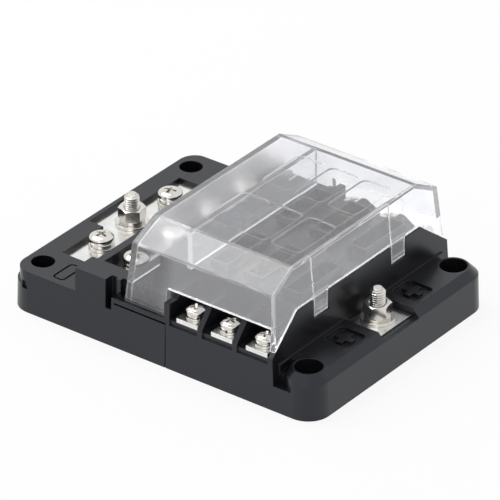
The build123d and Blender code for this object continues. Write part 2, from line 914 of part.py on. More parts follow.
def main():
    """Makes the whole block."""
    os.makedirs("parts", exist_ok=True)
    positive_bus = make_positive_bus()
    negative_bus = make_negative_bus()
    inserts = [positive_bus, negative_bus]
    save(positive_bus, "positive_bus")
    save(negative_bus, "negative_bus")
    for side, side_name in ((-1, "near"), (1, "far")):
        for i, x in enumerate(rows):
            terminal = make_terminal(x, side)
            inserts.append(terminal)
            save(terminal, f"output_terminal_{side_name}_{i + 1}")
            washers = make_washers(
                screw_rows[i], side * output_y, terminal_top, output_shank / 2 + washer_fit,
                output_head / 2 + 0.2, output_flat_washer, output_head / 2 - 0.35, output_split_washer,
            )
            save(washers, f"output_washers_{side_name}_{i + 1}")
            screw = make_screw(
                screw_rows[i], side * output_y, terminal_top, output_flat_washer + output_split_washer,
                output_shank, output_head, output_head_height,
            )
            save(screw, f"output_screw_{side_name}_{i + 1}")
        negative_places = [(outer_screw_x, outer_screw_y, negative_outer_top)]
        negative_places += [(inner_screw_x, y, negative_inner_top) for y in inner_screw_y]
        for i, (x, y, top) in enumerate(negative_places):
            washers = make_washers(
                x, side * y, top, negative_shank / 2 + washer_fit,
                negative_head / 2 + 0.2, negative_flat_washer, negative_head / 2 - 0.35,
                negative_split_washer,
            )
            save(washers, f"negative_washers_{side_name}_{i + 1}")
            screw = make_screw(
                x, side * y, top, negative_flat_washer + negative_split_washer,
                negative_shank, negative_head, negative_head_height,
            )
            save(screw, f"negative_screw_{side_name}_{i + 1}")
    for name, x, top in (
        ("negative", negative_stud_x, negative_outer_top), ("positive", positive_stud_x, positive_top)
    ):
        save(make_stud(x, top), f"{name}_stud")
        save(make_nut(x, top), f"{name}_nut")
        washers = make_washers(
            x, 0, top, stud_radius + stud_washer_fit, stud_flat_washer_radius, stud_flat_washer,
            stud_split_washer_radius, stud_split_washer,
        )
        save(washers, f"{name}_stud_washers")
    save(make_base(inserts), "base")
    save(make_cover(), "cover")


main()
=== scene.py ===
"""Finishes a six way blade fuse block: moulding, clear cover, plated bars, screws, studs."""

import json
from math import cos, pi, radians, sin, tau

import bmesh
import bpy
from mathutils import Matrix, Vector

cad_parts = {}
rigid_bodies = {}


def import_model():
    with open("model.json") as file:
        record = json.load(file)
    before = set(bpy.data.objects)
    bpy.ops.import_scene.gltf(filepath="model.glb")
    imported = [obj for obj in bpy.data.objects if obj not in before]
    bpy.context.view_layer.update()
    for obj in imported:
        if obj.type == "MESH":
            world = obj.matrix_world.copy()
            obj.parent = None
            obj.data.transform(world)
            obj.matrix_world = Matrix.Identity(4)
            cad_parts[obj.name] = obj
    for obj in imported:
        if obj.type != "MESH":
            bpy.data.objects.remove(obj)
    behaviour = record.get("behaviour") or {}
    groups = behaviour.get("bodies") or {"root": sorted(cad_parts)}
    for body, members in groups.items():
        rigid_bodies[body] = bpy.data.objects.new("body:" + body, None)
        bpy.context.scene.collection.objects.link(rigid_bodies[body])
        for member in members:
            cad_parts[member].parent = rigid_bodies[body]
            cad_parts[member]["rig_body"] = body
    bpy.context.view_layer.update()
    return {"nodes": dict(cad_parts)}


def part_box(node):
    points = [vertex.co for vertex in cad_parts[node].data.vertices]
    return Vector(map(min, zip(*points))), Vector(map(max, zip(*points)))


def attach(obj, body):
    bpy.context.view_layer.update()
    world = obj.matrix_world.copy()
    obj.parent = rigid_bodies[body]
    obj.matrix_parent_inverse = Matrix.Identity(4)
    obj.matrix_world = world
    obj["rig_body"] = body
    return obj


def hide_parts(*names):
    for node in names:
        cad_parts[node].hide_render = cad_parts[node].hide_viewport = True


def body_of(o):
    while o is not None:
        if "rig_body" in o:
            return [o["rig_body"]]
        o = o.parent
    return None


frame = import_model()

bl_info = {
    "name": "Fuse Block Finish",
    "version": (1, 0, 0),
    "blender": (4, 5, 0),
    "location": "View3D > Sidebar > Fuse Block",
    "description": "Finishes a blade fuse block: moulding, clear cover, bars, screws, studs",
    "category": "Object",
}

SIDES = ("near", "far")
PER_SIDE = 3
MM = 0.001

# Surfaces
MOULDING_SLOW = 45
METAL_SLOW, METAL_FINE = 170, 2600
GRAIN_MIDDLE = (0.3, 0.7)
NYLON_IOR = 1.5
CLEAR_PLASTIC_IOR = 1.49
# Colour of the painted glow that the cover emits as light on its walls, roof and edges
PAINTED_GLOW_COLOUR = (0.96, 0.97, 1.0)
GROOVE_ROUGHNESS = 0.4

# The cover's masks, which place its painted glow and its frost: each span starts at 0 and ends at
# 1
EDGE_LIKENESS = (0.99, 0.88)
WALL_UPWARD = (0.98, 0.3)
LEFT_BLEND = (-3 * MM, 3 * MM)

# Meshes
SMOOTH_ANGLE = radians(38)
MERGE_DISTANCE = 1e-7
THREAD_MERGE_DISTANCE = 1e-6

# Threads, in parts of the pitch
THREAD_STEPS = 36
THREAD_DEPTH = 0.6
ROOT_END, CREST_START, CREST_END = 0.12, 0.48, 0.62
GROOVE_REACH = 0.15
TOP_CHAMFER = 0.7
# A face that points up or down more than this is a rod's end and no groove
CAP_NORMAL = 0.99

# Screws: steps of the crown's curve, and the turn from one screw to the next
CROWN_STEPS = 9
SCREW_TURN = radians(37)

# Screw head, in parts of its height or radius, and neck, in parts of the shank's size or length
RIM_FOOT = 0.12
THREAD_STOP = 0.3
SEAT_SHARE = 0.965
NECK_SHARE = 0.86
NECK_END = 0.3

# Cross recess, in parts of the head's width, its height or the recess's depth
RECESS_ARM, RECESS_BAR = 0.31, 0.068
RECESS_DEPTH = 0.62
RECESS_ABOVE = 0.3
RECESS_TAPER = 0.55

# Washers, nuts and studs
WASHER_EDGE = 0.1 * MM
SPLIT_BORE_MORE = 0.05 * MM
SPLIT_SET_IN = 0.35 * MM
SCREW_WASHER_GAP = 0.1 * MM
STUD_WASHER_GAP = 0.2 * MM
STUD_SPLIT_RADIUS = 4.2 * MM
STUD_WASHER_TURN = radians(200)
STUD_HEAD_HEIGHT = 3.5 * MM
NUT_GAP = 0.05 * MM
NUT_CHAMFER = 0.35 * MM
BORE_CHAMFER = 0.3 * MM
NUT_TURN = radians(11)

# Stage
SENSOR_WIDTH = 36
VIEW_END = 20
FLOOR_COLOUR = (0.93, 0.93, 0.93, 1)
FLOOR_ROUGHNESS = 0.9
FLOOR_GLOW = 0.88
LAMP_SIZE = 0.6
KEY_PLACE = (-0.5, 0.0, 0.86)
FILL_PLACE = (0.3, -0.8, 0.5)


# Settings


class MouldingSettings(bpy.types.PropertyGroup):
    """The black moulded base."""

    colour: bpy.props.FloatVectorProperty(
        name="Colour", description="Colour of the black moulding", subtype="COLOR", size=3,
        min=0, max=1, default=(0.0068, 0.007, 0.0084),
    )
    roughness: bpy.props.FloatProperty(
        name="Roughness", description="How matt the moulding is", min=0, max=1, default=0.3
    )
    sheen_tint: bpy.props.FloatVectorProperty(
        name="Sheen tint", description="Cool tint of the moulding's reflections", subtype="COLOR",
        size=3, min=0, max=1, default=(0.86, 0.89, 1.0),
    )
    grain: bpy.props.FloatProperty(
        name="Grain", description="Size of the mould's fine texture", unit="LENGTH",
        default=0.35 * MM,
    )
    edge: bpy.props.FloatProperty(
        name="Edge", description="Radius that the moulding's edges look rounded to", unit="LENGTH",
        default=0.35 * MM,
    )


class CoverSettings(bpy.types.PropertyGroup):
    """The clear cover."""

    tint: bpy.props.FloatVectorProperty(
        name="Tint", description="Colour of the clear plastic", subtype="COLOR", size=3,
        min=0, max=1, default=(0.955, 0.957, 0.985),
    )
    roughness: bpy.props.FloatProperty(
        name="Roughness", description="How hazy the surface is", min=0, max=1, default=0.025
    )
    clearness: bpy.props.FloatProperty(
        name="Clearness", description="Share of the light that passes through", min=0, max=1,
        default=0.94,
    )
    edge: bpy.props.FloatProperty(
        name="Edge", description="Radius that the cover's edges look rounded to", unit="LENGTH",
        default=0.45 * MM,
    )
    edge_light: bpy.props.FloatProperty(
        name="Edge light", description="How bright the rounded edges glow", min=0, max=1,
        default=0.14,
    )
    # Painted light: the cover emits a white glow on its walls right of the deck and on its roof's
    # left part
    wall_painted_glow: bpy.props.FloatProperty(
        name="Wall painted glow", description="Painted white glow of the walls right of the deck", min=0, max=1,
        default=0.06,
    )
    roof_painted_glow: bpy.props.FloatProperty(
        name="Roof painted glow", description="Painted white glow of the roof's left part", min=0, max=1,
        default=0.045,
    )
    left_frost: bpy.props.FloatProperty(
        name="Left frost", description="Roughness added to the roof's left part", min=0, max=1,
        default=0.16,
    )
    deck_end: bpy.props.FloatProperty(
        name="Deck end", description="Place along X where the frosted left part ends",
        unit="LENGTH", default=1 * MM,
    )
    grain: bpy.props.FloatProperty(
        name="Grain", description="Size of the haze's slow changes", unit="LENGTH", default=9 * MM
    )


class PlatingSettings(bpy.types.PropertyGroup):
    """The plated bars and the fasteners."""

    bar_colour: bpy.props.FloatVectorProperty(
        name="Bar colour", description="Tin plate on the bars", subtype="COLOR", size=3,
        min=0, max=1, default=(0.83, 0.83, 0.81),
    )
    bar_roughness: bpy.props.FloatProperty(
        name="Bar roughness", description="How dull the tin plate is", min=0, max=1, default=0.2
    )
    fastener_colour: bpy.props.FloatVectorProperty(
        name="Fastener colour", description="Nickel on screws, nuts and studs", subtype="COLOR",
        size=3, min=0, max=1, default=(0.7, 0.68, 0.64),
    )
    # Painted shade: the thread grooves are coloured darker than the nickel
    groove_painted_shade: bpy.props.FloatVectorProperty(
        name="Groove painted shade", description="Painted shade at the foot of the threads", subtype="COLOR",
        size=3, min=0, max=1, default=(0.12, 0.11, 0.1),
    )
    fastener_roughness: bpy.props.FloatProperty(
        name="Fastener roughness", description="How dull the nickel is", min=0, max=1, default=0.13
    )
    edge: bpy.props.FloatProperty(
        name="Edge", description="Radius that metal edges look rounded to", unit="LENGTH",
        default=0.12 * MM,
    )


class FastenerSettings(bpy.types.PropertyGroup):
    """Shapes of the screws, washers, nuts and studs that the frame's boxes don't give."""

    output_shank: bpy.props.FloatProperty(
        name="Output shank", description="Thread size of the output screws", unit="LENGTH",
        default=3.5 * MM,
    )
    negative_shank: bpy.props.FloatProperty(
        name="Negative shank", description="Thread size of the negative screws", unit="LENGTH",
        default=4.0 * MM,
    )
    stud_size: bpy.props.FloatProperty(
        name="Stud size", description="Thread size of the studs", unit="LENGTH", default=5.0 * MM
    )
    stud_pitch: bpy.props.FloatProperty(
        name="Stud pitch", description="Thread pitch of the studs", unit="LENGTH", default=0.8 * MM
    )
    screw_pitch: bpy.props.FloatProperty(
        name="Screw pitch", description="Thread pitch of the screws", unit="LENGTH",
        default=0.65 * MM,
    )
    flat_share: bpy.props.FloatProperty(
        name="Flat washer share", description="Flat washer's part of the washer stack", min=0,
        max=1, default=0.42,
    )
    washer_slit: bpy.props.FloatProperty(
        name="Washer slit", description="Angle left open in a split washer", subtype="ANGLE",
        default=radians(13),
    )


class StageSettings(bpy.types.PropertyGroup):
    """Camera, floor and lights."""

    azimuth: bpy.props.FloatProperty(
        name="Azimuth", description="Camera's turn round the block", subtype="ANGLE",
        default=radians(37.22),
    )
    elevation: bpy.props.FloatProperty(
        name="Elevation", description="Camera's height above the horizon", subtype="ANGLE",
        default=radians(30.31),
    )
    distance: bpy.props.FloatProperty(
        name="Distance", description="Camera's distance", unit="LENGTH", default=1.8044
    )
    aim_right: bpy.props.FloatProperty(
        name="Aim right", description="Aim beside the base's centre", unit="LENGTH",
        default=0.61 * MM,
    )
    aim_up: bpy.props.FloatProperty(
        name="Aim up", description="Aim above the base's centre", unit="LENGTH", default=17.13 * MM
    )
    lens: bpy.props.FloatProperty(
        name="Lens", description="Focal length for a 36 mm sensor, in millimetres", default=406.44
    )
    floor_size: bpy.props.FloatProperty(
        name="Floor", description="Side of the floor", unit="LENGTH", default=4.0
    )
    ambient: bpy.props.FloatProperty(
        name="Ambient", description="Strength of the even light", min=0, default=0.62
    )
    key_power: bpy.props.FloatProperty(
        name="Key", description="Power of the soft lamp above", min=0, default=4.4
    )
    fill_power: bpy.props.FloatProperty(
        name="Fill", description="Power of the soft lamp at the near side", min=0, default=0.9
    )


class FuseBlockSettings(bpy.types.PropertyGroup):
    """All settings of the fuse block."""

    moulding: bpy.props.PointerProperty(type=MouldingSettings)
    cover: bpy.props.PointerProperty(type=CoverSettings)
    plating: bpy.props.PointerProperty(type=PlatingSettings)
    fastener: bpy.props.PointerProperty(type=FastenerSettings)
    stage: bpy.props.PointerProperty(type=StageSettings)


# Node groups and materials


def group_socket(group, name, way, kind="NodeSocketFloat", value=None):
    """Adds one socket to a node group."""
    socket = group.interface.new_socket(name=name, in_out=way, socket_type=kind)
    if value is not None:
        socket.default_value = value


def surface_grain():
    """A node group: a slow tone and a fine height, from a position."""
    group = bpy.data.node_groups.get("Surface grain")
    if group:
        return group
    group = bpy.data.node_groups.new("Surface grain", "ShaderNodeTree")
    group_socket(group, "Position", "INPUT", "NodeSocketVector")
    group_socket(group, "Fine scale", "INPUT", value=3000)
    group_socket(group, "Slow scale", "INPUT", value=60)
    group_socket(group, "Tone", "OUTPUT")
    group_socket(group, "Height", "OUTPUT")
    nodes, links = group.nodes, group.links
    entry = nodes.new("NodeGroupInput")
    leave = nodes.new("NodeGroupOutput")
    for scale, detail, result in (("Fine scale", 2, "Height"), ("Slow scale", 3, "Tone")):
        texture = nodes.new("ShaderNodeTexNoise")
        texture.inputs["Detail"].default_value = detail
        links.new(entry.outputs["Position"], texture.inputs["Vector"])
        links.new(entry.outputs[scale], texture.inputs["Scale"])
        links.new(texture.outputs["Fac"], leave.inputs[result])
    return group


def fresh_material(name):
    """A material with a Principled shader and object coordinates."""
    material = bpy.data.materials.new(name)
    material.use_nodes = True
    nodes = material.node_tree.nodes
    shader = nodes["Principled BSDF"]
    place = nodes.new("ShaderNodeTexCoord")
    return material, nodes, material.node_tree.links, shader, place


def add_grain(nodes, links, place, slow_scale, fine_scale=None):
    """Places the grain group in a material; one that uses no height gives no fine scale."""
    grain = nodes.new("ShaderNodeGroup")
    grain.node_tree = surface_grain()
    grain.inputs["Slow scale"].default_value = slow_scale
    if fine_scale is not None:
        grain.inputs["Fine scale"].default_value = fine_scale
    links.new(place.outputs["Object"], grain.inputs["Position"])
    return grain


def math_step(nodes, links, operation, first, second=0.0):
    """One step of arithmetic; each side is a socket or a number."""
    node = nodes.new("ShaderNodeMath")
    node.operation = operation
    for side, socket in zip((first, second), node.inputs):
        if isinstance(side, (int, float)):
            socket.default_value = side
        else:
            links.new(side, socket)
    return node.outputs["Value"]


def mapped(nodes, links, source, span, low=0.0, high=1.0):
    """Spreads one span of a value over a range and keeps to the range's ends outside it."""
    node = nodes.new("ShaderNodeMapRange")
    node.inputs["From Min"].default_value = span[0]
    node.inputs["From Max"].default_value = span[1]
    node.inputs["To Min"].default_value = low
    node.inputs["To Max"].default_value = high
    links.new(source, node.inputs["Value"])
    return node.outputs["Result"]


def toned(nodes, links, mask, dark, light):
    """A colour between two, by a mask."""
    node = nodes.new("ShaderNodeMix")
    node.data_type = "RGBA"
    node.inputs["A"].default_value = (*dark, 1)
    node.inputs["B"].default_value = (*light, 1)
    links.new(mask, node.inputs["Factor"])
    return node.outputs["Result"]


def scaled(colour, share):
    """A colour made lighter or darker."""
    return tuple(min(1.0, part * share) for part in colour)


def uneven_colour(nodes, links, shader, grain, colour, darker, lighter):
    """Lets the base colour drift between two tones of one colour."""
    mask = mapped(nodes, links, grain.outputs["Tone"], GRAIN_MIDDLE)
    tone = toned(nodes, links, mask, scaled(colour, darker), scaled(colour, lighter))
    links.new(tone, shader.inputs["Base Color"])


def uneven_roughness(nodes, links, grain, roughness, less, more):
    """A roughness that drifts about one value."""
    tone = grain.outputs["Tone"]
    return mapped(nodes, links, tone, GRAIN_MIDDLE, roughness - less, roughness + more)


def soft_edges(nodes, links, shader, height, radius, strength, distance):
    """Rounds the look of edges and adds the fine height as bump."""
    bevel = nodes.new("ShaderNodeBevel")
    bevel.samples = 4
    bevel.inputs["Radius"].default_value = radius
    bump = nodes.new("ShaderNodeBump")
    bump.inputs["Strength"].default_value = strength
    bump.inputs["Distance"].default_value = distance
    links.new(bevel.outputs["Normal"], bump.inputs["Normal"])
    links.new(height, bump.inputs["Height"])
    links.new(bump.outputs["Normal"], shader.inputs["Normal"])


def cover_masks():
    """A node group: a clear hood's edges, its upright walls and its part left of a place."""
    group = bpy.data.node_groups.get("Cover masks")
    if group:
        return group
    group = bpy.data.node_groups.new("Cover masks", "ShaderNodeTree")
    group_socket(group, "Position", "INPUT", "NodeSocketVector")
    group_socket(group, "Edge radius", "INPUT", value=0.5 * MM)
    group_socket(group, "Deck end", "INPUT", value=0)
    group_socket(group, "Edge", "OUTPUT")
    group_socket(group, "Wall", "OUTPUT")
    group_socket(group, "Left", "OUTPUT")
    group_socket(group, "Normal", "OUTPUT", "NodeSocketVector")
    nodes, links = group.nodes, group.links
    entry = nodes.new("NodeGroupInput")
    leave = nodes.new("NodeGroupOutput")
    bevel = nodes.new("ShaderNodeBevel")
    bevel.samples = 6
    links.new(entry.outputs["Edge radius"], bevel.inputs["Radius"])
    links.new(bevel.outputs["Normal"], leave.inputs["Normal"])
    surface = nodes.new("ShaderNodeNewGeometry")
    likeness = nodes.new("ShaderNodeVectorMath")
    likeness.operation = "DOT_PRODUCT"
    links.new(bevel.outputs["Normal"], likeness.inputs[0])
    links.new(surface.outputs["True Normal"], likeness.inputs[1])
    alike = math_step(nodes, links, "ABSOLUTE", likeness.outputs["Value"])
    links.new(mapped(nodes, links, alike, EDGE_LIKENESS), leave.inputs["Edge"])
    facing = nodes.new("ShaderNodeSeparateXYZ")
    links.new(surface.outputs["True Normal"], facing.inputs["Vector"])
    upward = math_step(nodes, links, "ABSOLUTE", facing.outputs["Z"])
    links.new(mapped(nodes, links, upward, WALL_UPWARD), leave.inputs["Wall"])
    spot = nodes.new("ShaderNodeSeparateXYZ")
    links.new(entry.outputs["Position"], spot.inputs["Vector"])
    beside = math_step(nodes, links, "SUBTRACT", entry.outputs["Deck end"], spot.outputs["X"])
    links.new(mapped(nodes, links, beside, LEFT_BLEND), leave.inputs["Left"])
    return group


def moulding_material(settings):
    """Black glass filled nylon with a fine satin texture."""
    material, nodes, links, shader, place = fresh_material("Black moulding")
    grain = add_grain(nodes, links, place, MOULDING_SLOW, 1 / settings.grain)
    uneven_colour(nodes, links, shader, grain, settings.colour, darker=0.85, lighter=1.25)
    rough = uneven_roughness(nodes, links, grain, settings.roughness, less=0.05, more=0.06)
    links.new(rough, shader.inputs["Roughness"])
    shader.inputs["IOR"].default_value = NYLON_IOR
    shader.inputs["Specular Tint"].default_value = (*settings.sheen_tint, 1)
    soft_edges(
        nodes, links, shader, grain.outputs["Height"], settings.edge, strength=0.22,
        distance=0.03 * MM,
    )
    return material


def cover_material(settings):
    """Clear moulded plastic with a frosted left part, and a painted white glow on its walls, its
    roof's left part and its rounded edges.
    """
    material, nodes, links, shader, place = fresh_material("Clear cover")
    grain = add_grain(nodes, links, place, 1 / settings.grain)
    uneven_colour(nodes, links, shader, grain, settings.tint, darker=0.96, lighter=1.03)
    masks = nodes.new("ShaderNodeGroup")
    masks.node_tree = cover_masks()
    masks.inputs["Edge radius"].default_value = settings.edge
    masks.inputs["Deck end"].default_value = settings.deck_end
    links.new(place.outputs["Object"], masks.inputs["Position"])
    links.new(masks.outputs["Normal"], shader.inputs["Normal"])

    def step(operation, first, second):
        return math_step(nodes, links, operation, first, second)

    left, wall = masks.outputs["Left"], masks.outputs["Wall"]
    left_roof = step("MULTIPLY", left, step("SUBTRACT", 1.0, wall))
    right_wall = step("MULTIPLY", step("SUBTRACT", 1.0, left), wall)
    rough = uneven_roughness(nodes, links, grain, settings.roughness, less=0.01, more=0.015)
    frost = step("MULTIPLY", left_roof, settings.left_frost)
    links.new(step("ADD", rough, frost), shader.inputs["Roughness"])
    # Painted light: the walls, the roof's left part and the rounded edges emit a white glow
    painted_glow = 0.0
    for mask, share in (
        (left_roof, settings.roof_painted_glow), (right_wall, settings.wall_painted_glow),
        (masks.outputs["Edge"], settings.edge_light),
    ):
        painted_glow = step("ADD", painted_glow, step("MULTIPLY", mask, share))
    glow = toned(nodes, links, painted_glow, (0, 0, 0), PAINTED_GLOW_COLOUR)
    links.new(glow, shader.inputs["Emission Color"])
    shader.inputs["Emission Strength"].default_value = 1.0
    shader.inputs["IOR"].default_value = CLEAR_PLASTIC_IOR
    shader.inputs["Transmission Weight"].default_value = settings.clearness
    material.cycles.emission_sampling = "NONE"
    return material


def plated_material(name, colour, roughness, edge):
    """Bright plating with faint changes of tone and polish."""
    material, nodes, links, shader, place = fresh_material(name)
    grain = add_grain(nodes, links, place, METAL_SLOW, METAL_FINE)
    uneven_colour(nodes, links, shader, grain, colour, darker=0.9, lighter=1.06)
    rough = uneven_roughness(nodes, links, grain, roughness, less=0.05, more=0.07)
    links.new(rough, shader.inputs["Roughness"])
    shader.inputs["Metallic"].default_value = 1.0
    soft_edges(
        nodes, links, shader, grain.outputs["Height"], edge, strength=0.12, distance=0.01 * MM
    )
    return material


def groove_shade_material(colour):
    """Painted shade: a darker colour at the foot of a thread."""
    material, nodes, links, shader, place = fresh_material("Thread groove shade")
    grain = add_grain(nodes, links, place, METAL_SLOW)
    uneven_colour(nodes, links, shader, grain, colour, darker=0.8, lighter=1.2)
    shader.inputs["Metallic"].default_value = 1.0
    shader.inputs["Roughness"].default_value = GROOVE_ROUGHNESS
    return material


def dress(node_name, material):
    """Gives a node of the frame its finish."""
    slots = frame["nodes"][node_name].data.materials
    slots.clear()
    slots.append(material)


# Mesh helpers


def smoothed(mesh):
    """Shades a mesh smooth, apart from its sharp edges."""
    mesh.shade_smooth()
    mesh.set_sharp_from_angle(angle=SMOOTH_ANGLE)


def finished(name, bm, *materials):
    """Makes an object from a bmesh, with its materials in the order of their slots."""
    mesh = bpy.data.meshes.new(name)
    bm.to_mesh(mesh)
    bm.free()
    smoothed(mesh)
    for material in materials:
        mesh.materials.append(material)
    piece = bpy.data.objects.new(name, mesh)
    bpy.context.scene.collection.objects.link(piece)
    return piece


def cleaned(bm):
    """Merges doubles and turns all faces outwards."""
    bmesh.ops.remove_doubles(bm, verts=bm.verts, dist=MERGE_DISTANCE)
    bmesh.ops.recalc_face_normals(bm, faces=bm.faces)
    return bm


def joined(bm, other):
    """Adds a second bmesh to the first and frees it."""
    mesh = bpy.data.meshes.new("other")
    other.to_mesh(mesh)
    other.free()
    bm.from_mesh(mesh)
    bpy.data.meshes.remove(mesh)
    return bm


def outline_of(bm, points):
    """The vertices and edges of an open outline of radii and heights, ready to be turned."""
    verts = [bm.verts.new((r, 0, z)) for r, z in points]
    return verts + [bm.edges.new(pair) for pair in zip(verts, verts[1:])]


def turned(points, steps=40):
    """A turned solid about Z from its half outline, which starts and ends on the axis."""
    bm = bmesh.new()
    bmesh.ops.spin(
        bm, geom=outline_of(bm, points), cent=(0, 0, 0), axis=(0, 0, 1), angle=tau, steps=steps,
        use_merge=True,
    )
    return cleaned(bm)


def ring(inner, outer, low, high, angle=tau, steps=40):
    """A washer with softened edges; with less than a full turn it is split."""
    edge = WASHER_EDGE
    bm = bmesh.new()
    outline = [
        (inner + edge, low), (outer - edge, low), (outer, low + edge), (outer, high - edge),
        (outer - edge, high), (inner + edge, high), (inner, high - edge), (inner, low + edge),
    ]
    face = bm.faces.new([bm.verts.new((r, 0, z)) for r, z in outline])
    geom = [face] + list(face.edges) + list(face.verts)
    full = angle == tau
    bmesh.ops.spin(
        bm, geom=geom, cent=(0, 0, 0), axis=(0, 0, 1), angle=angle, steps=steps, use_merge=full
    )
    if full:
        caps = [f for f in bm.faces if len(f.verts) == len(outline)]
        bmesh.ops.delete(bm, geom=caps, context="FACES_ONLY")
    return cleaned(bm)


def carved(piece, cutter, operation="DIFFERENCE"):
    """Cuts one closed piece with another, which is then removed."""
    step = piece.modifiers.new("Cut", "BOOLEAN")
    step.operation = operation
    step.solver = "EXACT"
    step.object = cutter
    graph = bpy.context.evaluated_depsgraph_get()
    mesh = bpy.data.meshes.new_from_object(piece.evaluated_get(graph))
    mesh.name = piece.name
    piece.modifiers.clear()
    piece.data = mesh
    bpy.data.objects.remove(cutter)
    smoothed(mesh)


def stood_at(piece, node_name, turn=0.0):
    """Turns the mesh about Z and moves it to its node; the object stays at the origin."""
    low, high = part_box(node_name)
    centre = (Vector(low) + Vector(high)) / 2
    place = Matrix.Translation((centre.x, centre.y, 0))
    piece.data.transform(place @ Matrix.Rotation(turn, 4, "Z"))


def take_over(piece, node_name):
    """The piece stands for a node and moves with its body."""
    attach(piece, body_of(frame["nodes"][node_name])[0])
    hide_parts(node_name)


# Fasteners


def thread_form(size, pitch, low, high):
    """A rod with a helical thread and a chamfered top; its grooves take the second material, a
    darker painted shade.
    """
    crest = size / 2
    root = crest - THREAD_DEPTH * pitch
    rows = int((high - low) / pitch) + 3
    bm = bmesh.new()
    points = []
    for row in range(rows):
        z = low + (row - 2) * pitch
        points += [
            (root, z), (root, z + ROOT_END * pitch), (crest, z + CREST_START * pitch),
            (crest, z + CREST_END * pitch),
        ]
    bmesh.ops.spin(
        bm, geom=outline_of(bm, points), cent=(0, 0, 0), axis=(0, 0, 1),
        dvec=(0, 0, pitch / THREAD_STEPS), angle=tau, steps=THREAD_STEPS, use_merge=False,
    )
    bmesh.ops.remove_doubles(bm, verts=bm.verts, dist=THREAD_MERGE_DISTANCE)
    for height, side in ((high, 1), (low, -1)):
        bmesh.ops.bisect_plane(
            bm, geom=list(bm.verts) + list(bm.edges) + list(bm.faces), plane_co=(0, 0, height),
            plane_no=(0, 0, side), clear_outer=True,
        )
        rim = [
            edge for edge in bm.edges
            if edge.is_boundary and all(abs(v.co.z - height) < MERGE_DISTANCE for v in edge.verts)
        ]
        bmesh.ops.contextual_create(bm, geom=rim)
    # Faces deep in the thread take the second material, which paints shade into the grooves
    for face in bm.faces:
        deep = face.calc_center_median().xy.length < root + GROOVE_REACH * pitch
        face.material_index = 1 if deep and abs(face.normal.z) < CAP_NORMAL else 0
    for vert in bm.verts:
        reach = (root - TOP_CHAMFER * pitch) + (high - vert.co.z)
        span = vert.co.xy.length
        if span > reach > 0:
            vert.co.x *= reach / span
            vert.co.y *= reach / span
    return cleaned(bm)


def recess_cutter(head, top, depth):
    """A tapering cross, to cut a screw's recess."""
    arm = head * RECESS_ARM
    bar = head * RECESS_BAR
    bm = bmesh.new()
    corners = [
        (bar, bar), (arm, bar), (arm, -bar), (bar, -bar), (bar, -arm), (-bar, -arm),
        (-bar, -bar), (-arm, -bar), (-arm, bar), (-bar, bar), (-bar, arm), (bar, arm),
    ]
    face = bm.faces.new([bm.verts.new((x, y, top + depth * RECESS_ABOVE)) for x, y in corners])
    out = bmesh.ops.extrude_face_region(bm, geom=[face])
    low = [v for v in out["geom"] if isinstance(v, bmesh.types.BMVert)]
    for vert in low:
        vert.co.x *= RECESS_TAPER
        vert.co.y *= RECESS_TAPER
        vert.co.z = top - depth
    return cleaned(bm)


def screw_form(shank, low, seat, top, head, pitch, materials):
    """A pan head screw about Z with its thread and cross recess."""
    rise = top - seat
    radius = head / 2
    neck = shank / 2 * NECK_SHARE
    neck_end = low + NECK_END * (seat - low)
    crown = [
        (radius * sin(a), seat + rise * (0.5 + 0.5 * cos(a)))
        for a in (pi / 2 * step / CROWN_STEPS for step in range(1, CROWN_STEPS + 1))
    ]
    outline = [
        (0, top), *crown, (radius, seat + RIM_FOOT * rise), (radius * SEAT_SHARE, seat),
        (neck, seat), (neck, neck_end), (0, neck_end),
    ]
    screw = finished("screw", turned(outline), *materials)
    cutter = finished("recess", recess_cutter(head, top, rise * RECESS_DEPTH), *materials)
    carved(screw, cutter)
    mesh = screw.data
    bm = bmesh.new()
    bm.from_mesh(mesh)
    joined(bm, thread_form(shank, pitch, low, seat - THREAD_STOP * rise))
    bm.to_mesh(mesh)
    bm.free()
    smoothed(mesh)
    return screw


def terminal_screw(node_name, washer_name, shank, pitch, turn, materials):
    """One screw in the place of its node."""
    low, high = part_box(node_name)
    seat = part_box(washer_name)[1][2]
    screw = screw_form(shank, low[2], seat, high[2], high[0] - low[0], pitch, materials)
    stood_at(screw, node_name, turn)
    screw.name = node_name + "_form"
    screw.data.name = screw.name
    take_over(screw, node_name)


def washer_pair(node_name, bore, split_reach, settings, turn, material):
    """A flat washer and a split washer, in the place of their node."""
    low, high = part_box(node_name)
    outer = (high[0] - low[0]) / 2
    step = low[2] + (high[2] - low[2]) * settings.flat_share
    flat = ring(bore, outer, low[2], step)
    split = ring(
        bore + SPLIT_BORE_MORE, split_reach, step, high[2], tau - settings.washer_slit, steps=36
    )
    for ending, form in (("_flat", flat), ("_split", split)):
        piece = finished(node_name + ending, form, material)
        stood_at(piece, node_name, turn)
        take_over(piece, node_name)


def hex_solid(flats, low, high):
    """A hexagon bar about Z."""
    bm = bmesh.new()
    made = bmesh.ops.create_circle(bm, cap_ends=True, segments=6, radius=flats / 2 / cos(pi / 6))
    bmesh.ops.translate(bm, verts=made["verts"], vec=(0, 0, low))
    out = bmesh.ops.extrude_face_region(bm, geom=list(bm.faces))
    lifted = [v for v in out["geom"] if isinstance(v, bmesh.types.BMVert)]
    bmesh.ops.translate(bm, verts=lifted, vec=(0, 0, high - low))
    return cleaned(bm)


